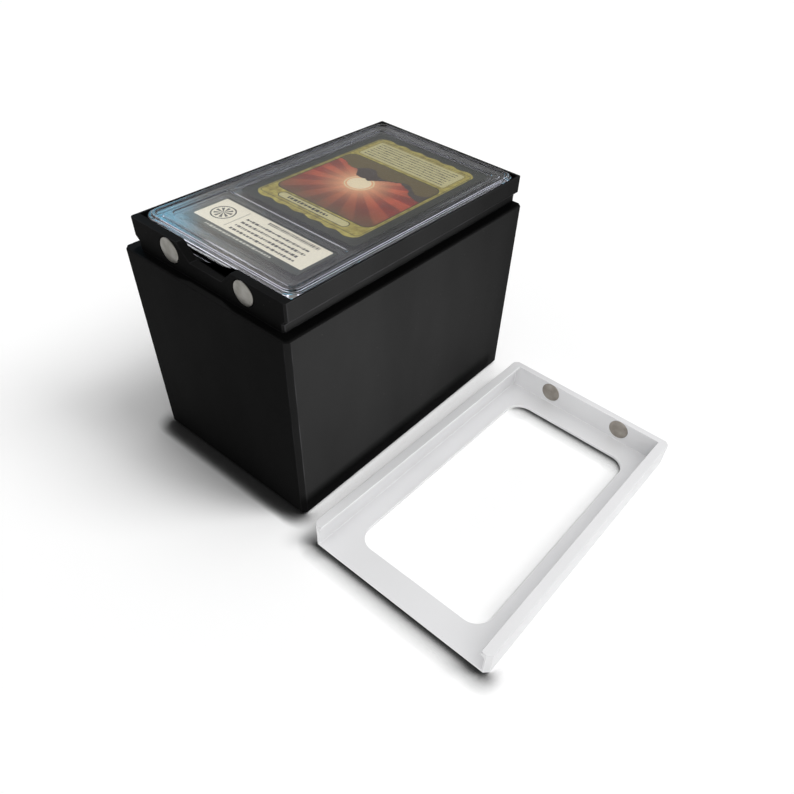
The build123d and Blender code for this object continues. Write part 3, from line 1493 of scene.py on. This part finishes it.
@dataclass
class CardHolder:
    """The clear two-part holder with its inner frame, card and label.

    The shells meet at the weld.  Each has a step round its outside, a raised ridge and a
    border that lies lower by drop, with panes that lie lower by pane_drop.  The rim is
    the solid part round the inner frame, and the seam a gap between clear parts.
    """

    centre_x: float = 3.15
    half: Point = (68.25, 40.25)
    corner: float = 6.0
    weld: float = 102.1
    thickness: float = 3.499
    step: Point = (1.4, 0.8)
    ridge: float = 1.5
    drop: float = 0.35
    pane_drop: float = 0.35
    rim: float = 5.0
    well_half_height: float = 1.5
    well_gap: float = 0.15
    pocket_drop: float = 0.53
    seam: float = 0.02
    prints: tuple[SmallPrint, ...] = (
        SmallPrint("label_lines", LABEL, DARK_INK, (-4.4, 11.0), 4, 30, 2.8, 34.0, 1.35,
                   0.6, 0.35, 1.9, 0.42, 5),
        SmallPrint("label_tally", LABEL, DARK_INK, (7.8, 3.0), 1, 44, 2.0, 27.0, 1.8,
                   1.0, 0.25, 0.7, 0.45, 3),
        SmallPrint("label_heading", LABEL, PALE_INK, (-8.5, 20.0), 1, 30, 2.0, 36.0, 1.1,
                   0.75, 0.5, 1.6, 0.5, 8),
        SmallPrint("card_lines", CARD, DARK_INK, (21.4, 22.6), 7, 44, 2.05, 45.0, 0.85,
                   0.45, 0.3, 1.5, 0.36, 11),
        SmallPrint("card_name", CARD, DARK_INK, (-33.6, 14.0), 1, 16, 2.0, 24.0, 1.7,
                   0.6, 0.6, 2.2, 0.5, 2),
    )

    def shell(self, name: str, node: str, front: bool) -> Thing:
        """Build one of the two clear shells.

        Args:
            name: The object's name.
            node: The solid that it replaces.
            front: Whether it is the front shell, which has two panes and a frosted pad.

        Returns:
            The shell.
        """
        width, depth = self.step
        top, seam = self.thickness, self.seam
        crest = width + self.ridge
        ceiling = self.well_half_height + seam
        outside = [
            (0.4, seam, 0.0),
            (0.0, seam, 0.15),
            (0.0, top - depth, 0.6),
            (width, top - depth, 0.3),
            (width, top, 0.45),
            (crest, top, 0.2),
            (crest + 0.35, top - self.drop, 0.2),
            (crest + 0.75, top - self.drop, 0.0),
        ]
        inside = [
            (self.rim - 0.3, seam),
            (self.rim, seam + 0.3),
            (self.rim, ceiling - 0.3),
            (self.rim + 0.3, ceiling),
        ]
        side = 1 if front else -1
        maker = MeshMaker()
        outer, hollow = (
            maker.wall(
                [(inset, self.weld + side * height) for inset, height in profile],
                (self.centre_x, 0.0),
                self.half,
                corner,
            )
            for profile, corner in ((eased_profile(outside), self.corner), (inside, 2.0 + self.rim))
        )
        maker.stack([outer[0], hollow[0]])
        maker.cap(hollow[-1])
        panels = [
            Panel(LABEL.face.centre, (13.45, 33.1), 2.0, -self.pane_drop),
            Panel(CARD.face.centre, (44.8, 33.1), 2.0, -self.pane_drop),
            Panel((36.2, -35.95), (16.0, 1.2), 0.5, 0.18, material=1),
        ]
        level = self.weld + side * (top - self.drop)
        sunk = [panel.sink(maker, level, ease=0.14, slope=0.4) for panel in panels if front]
        maker.cap(outer[-1], sunk)
        made = maker.piece(name, [SHELL_CLEAR, SHELL_FROSTED])
        return fitted(made, node, Slot.SHELL, Body.SLAB)

    def well(self) -> Thing:
        """Build the inner frame with its two pockets.

        Returns:
            The inner frame.
        """
        inset = self.rim + self.well_gap
        reach = self.well_half_height - self.seam
        bottom, top = self.weld - reach, self.weld + reach
        corners = [
            (inset + 0.6, bottom, 0.0),
            (inset, bottom, 0.2),
            (inset, top, 0.2),
            (inset + 0.6, top, 0.0),
        ]
        maker = MeshMaker()
        centre = (self.centre_x, 0.0)
        rings = maker.wall(eased_profile(corners), centre, self.half, 2.0 + inset)
        maker.cap(rings[0])
        pockets = (
            Panel(LABEL.face.centre, (10.4, 30.65), 0.8, -self.pocket_drop),
            Panel(CARD.face.centre, (44.15, 31.65), 3.0, -self.pocket_drop),
        )
        sunk = [pocket.sink(maker, top, ease=0.12, slope=0.2) for pocket in pockets]
        maker.cap(rings[-1], sunk)
        return fitted(maker.piece("card_well", [WELL_CLEAR]), "slab_card_well", Slot.WELL, Body.SLAB)

    def build(self) -> list[Thing]:
        """Build the holder, its card and its label, and print them.

        Returns:
            The pieces.
        """
        return [
            self.shell("front_shell", "slab_front_shell", True),
            self.shell("back_shell", "slab_back_shell", False),
            self.well(),
            *(part.build() for part in (CARD, LABEL, *self.prints)),
        ]


# ---------------------------------------------------------------------- studio


def bearing(azimuth: float, elevation: float) -> Vector:
    """Turn a bearing from +X and a height angle, in degrees, into a direction."""
    across, up = math.radians(azimuth), math.radians(elevation)
    return Vector((math.cos(across) * math.cos(up), math.sin(across) * math.cos(up), math.sin(up)))


@dataclass(frozen=True)
class Lamp:
    """A lamp that lights some of the scene.

    Its azimuth from +X and its elevation are in degrees, and what it aims at and its
    distance from that in metres.  A level of 1 shows white as white on what faces it.
    """

    name: str
    azimuth: float
    elevation: float
    level: float
    aim: Place = (0.0, 0.0, 0.0)
    distance: float = 1.0

    def bulb(self) -> bpy.types.Light:
        """Make the light itself."""
        raise NotImplementedError

    def build(self, lit: list[Thing]) -> Thing:
        """Hang the lamp.

        Args:
            lit: What it lights.

        Returns:
            The lamp.
        """
        made = linked(self.name, self.bulb())
        away = bearing(self.azimuth, self.elevation)
        made.location = Vector(self.aim) + away * self.distance
        made.rotation_euler = (-away).to_track_quat("-Z", "Y").to_euler()
        receivers = bpy.data.collections.new(f"{self.name}_receivers")
        for piece in lit:
            receivers.objects.link(piece)
        made.light_linking.receiver_collection = receivers
        return made


@dataclass(frozen=True)
class SoftBox(Lamp):
    """A square lamp near the object, with its side in metres and its beam in degrees."""

    size: float = 0.1
    beam: float = 180.0

    def bulb(self) -> bpy.types.Light:
        """Make a square light.

        Returns:
            The light.
        """
        lamp = bpy.data.lights.new(self.name, "AREA")
        lamp.shape = "SQUARE"
        lamp.size = self.size
        lamp.spread = math.radians(self.beam)
        lamp.energy = self.level * (math.pi * self.distance) ** 2
        return lamp


@dataclass(frozen=True)
class FarLamp(Lamp):
    """A lamp so far off that it lights evenly, and the angle it covers, in degrees."""

    spread: float = 25.0

    def bulb(self) -> bpy.types.Light:
        """Make a light from one way.

        Returns:
            The light.
        """
        lamp = bpy.data.lights.new(self.name, "SUN")
        lamp.angle = math.radians(self.spread)
        lamp.energy = self.level * math.pi
        return lamp


@dataclass(frozen=True)
class Window:
    """A soft-edged bright patch round the studio that shows in reflections.

    It is at its full brightness up to the half-angle core and ends at the half-angle
    edge, in degrees.
    """

    azimuth: float
    elevation: float
    core: float
    edge: float
    colour: Colour
    strength: float


@dataclass(frozen=True)
class FloorPaint(Finish):
    """White studio floor that keeps the shadow.

    The colour lights the object, and shown is what is seen, so that the open floor is
    white.  The contact shade reaches so many metres, looks up by a tilt in degrees,
    goes from a faint to a full difference in openness, and leaves a share of the colour.
    """

    colour: Colour = (0.9, 0.9, 0.9)
    shown: Colour = (1.035, 1.035, 1.035)
    reach: float = 0.009
    tilt: float = 20.0
    faint: float = 0.04
    full: float = 0.36
    shaded: float = 0.06
    samples: int = 12

    def openness(self, graph: Graph, azimuth: float) -> Socket:
        """Find how open the floor is, from 0 to 1, towards a bearing from +X."""
        way = graph.vector("NORMALIZE", bearing(azimuth, self.tilt))
        look = {"samples": self.samples, "Distance": self.reach, "Normal": way}
        return graph.node("ShaderNodeAmbientOcclusion", **look).outputs["AO"]

    def contact_shade(self, graph: Graph) -> Socket:
        """Find where something stands close by on the +X side and nothing on the other."""
        lead = graph.math("SUBTRACT", self.openness(graph, 180.0), self.openness(graph, 0.0))
        return graph.remap(lead, self.faint, self.full)

    def wire(self, graph: Graph) -> Socket:
        """Build a matt surface that is lighter where it is seen.

        Args:
            graph: The material's graph.

        Returns:
            The surface's shader.
        """
        seen = graph.path("Camera", "Glossy", "Transmission")
        shown = graph.mix(self.contact_shade(graph), self.shown, dimmed(self.shown, self.shaded))
        lighting, showing = (
            graph.node("ShaderNodeBsdfDiffuse", colour).outputs[0]
            for colour in (self.colour, shown)
        )
        return graph.node("ShaderNodeMixShader", seen, lighting, showing).outputs[0]


@dataclass
class Studio:
    """Floor, surrounding light and lamps.

    The horizon is the height of the white band that the background shows, as a sine,
    and half the floor's side is in metres.
    """

    ambient: float = 0.24
    horizon: float = 0.2
    floor_half: float = 6.0
    windows: tuple[Window, ...] = (
        Window(52.0, 36.0, 3.0, 12.0, (0.95, 0.93, 1.0), 0.55),
        Window(60.0, 31.0, 3.0, 9.0, (1.0, 0.97, 0.9), 0.9),
        Window(71.0, 24.0, 10.5, 13.5, (0.3, 0.72, 1.0), 2.1),
        Window(60.0, 6.0, 4.0, 11.0, (0.4, 0.72, 1.0), 1.6),
        Window(112.0, 40.0, 9.0, 22.0, (0.86, 0.86, 1.0), 2.4),
        Window(-22.0, 44.0, 9.0, 22.0, (0.82, 0.84, 1.0), 2.2),
    )

    def floor(self) -> Thing:
        """Lay the floor.

        Returns:
            The floor.
        """
        work = bmesh.new()
        bmesh.ops.create_grid(work, x_segments=1, y_segments=1, size=self.floor_half)
        mesh = bpy.data.meshes.new("studio_floor")
        work.to_mesh(mesh)
        work.free()
        made = placed("studio_floor", mesh, [FloorPaint("studio_floor_paint")])
        return made

    def reflected(self, graph: Graph) -> Socket:
        """Colour what reflections show: the white band and the windows.

        Args:
            graph: The world's graph.

        Returns:
            The colour.
        """
        way = graph.vector("NORMALIZE", graph.node("ShaderNodeTexCoord").outputs["Generated"])
        band = graph.remap(graph.parts(way)[2], self.horizon * 0.5, self.horizon, 1.0, 0.0)
        colour = graph.mix(band, dimmed(WHITE, self.ambient), WHITE)
        for window in self.windows:
            facing = graph.vector("DOT_PRODUCT", way, bearing(window.azimuth, window.elevation))
            edge, core = (math.cos(math.radians(turn)) for turn in (window.edge, window.core))
            share = graph.remap(facing, edge, core)
            colour = graph.mix(share, colour, dimmed(window.colour, window.strength))
        return colour

    def surroundings(self) -> None:
        """Light the scene from all round, before a white background."""
        world = bpy.data.worlds.new("studio_world")
        world.use_nodes = True
        world.node_tree.nodes.clear()
        graph = Graph(world.node_tree)
        colour = graph.coats(
            dimmed(WHITE, self.ambient),
            (graph.path("Glossy", "Transmission"), self.reflected(graph)),
            (graph.path("Camera"), WHITE),
        )
        light = graph.node("ShaderNodeBackground", colour)
        graph.node("ShaderNodeOutputWorld", light.outputs[0])
        bpy.context.scene.world = world

    def build(self, pieces: dict[Body, list[Thing]]) -> None:
        """Set up the whole studio.

        Args:
            pieces: The pieces on each body.
        """
        floor = self.floor()
        self.surroundings()
        FarLamp("overhead_floor_lamp", -19.0, 76.9, 0.28, spread=46.0).build([floor])
        FarLamp("high_floor_lamp", -62.0, 64.7, 0.22, spread=18.4).build([floor])
        FarLamp("low_floor_lamp", -55.0, 48.1, 0.37, spread=23.6).build([floor])
        FarLamp("cover_lamp", -110.0, 56.0, 0.98, spread=160.0).build(pieces[Body.COVER])
        face_lamp = SoftBox("face_lamp", -60.0, 2.0, 0.6, (-0.085, -0.045, 0.05), 0.3, beam=76.0)
        face_lamp.build(pieces[Body.BOX][:1])
        top_lamp = SoftBox("top_lamp", 40.0, 78.0, 0.66, distance=0.95, size=0.08)
        hung = top_lamp.build([*pieces[Body.BOX], *pieces[Body.SLAB]])
        hung.visible_glossy = False
        hung.visible_transmission = False
        bpy.context.scene.view_settings.view_transform = "Standard"


@dataclass(frozen=True)
class ProductCamera:
    """The camera that looks down on the notch end.

    Its place and its sensor are in millimetres, its angles in degrees, and its focal
    length and its shift in image widths.
    """

    place: Place = (-191.9, -189.4, 235.36)
    azimuth: float = -147.44
    elevation: float = 45.17
    roll: float = 6.77
    sensor: float = 36.0
    focal: float = 678.89 / 794
    shift: Point = (-0.0659, 0.0558)

    def build(self) -> Thing:
        """Set up the camera and make it the scene's.

        Returns:
            The camera.
        """
        lens = bpy.data.cameras.new("product_camera")
        lens.sensor_width = self.sensor
        lens.lens = self.sensor * self.focal
        lens.shift_x, lens.shift_y = self.shift
        lens.clip_start, lens.clip_end = 0.01, 50.0
        made = linked("product_camera", lens)
        back = bearing(self.azimuth, self.elevation)
        right = (-back).cross(Vector((0, 0, 1))).normalized()
        level = Matrix((right, right.cross(-back), back)).transposed().to_4x4()
        roll = Matrix.Rotation(math.radians(self.roll), 4, "Z")
        made.matrix_world = Matrix.Translation(Vector(self.place) * MM) @ level @ roll
        bpy.context.scene.camera = made
        return made


def main() -> None:
    """Build the object, the studio and the camera."""
    logging.basicConfig(level=logging.INFO, format="%(name)s: %(message)s")
    pieces = {
        Body.BOX: CaseBox().build(),
        Body.COVER: CaseCover().build(),
        Body.SLAB: CardHolder().build(),
    }
    for body, made in pieces.items():
        for piece in made:
            LOG.info("%s on %s: %d faces", piece.name, body.value, len(piece.data.polygons))
    Studio().build(pieces)
    ProductCamera().build()


if __name__ == "__main__":
    main()
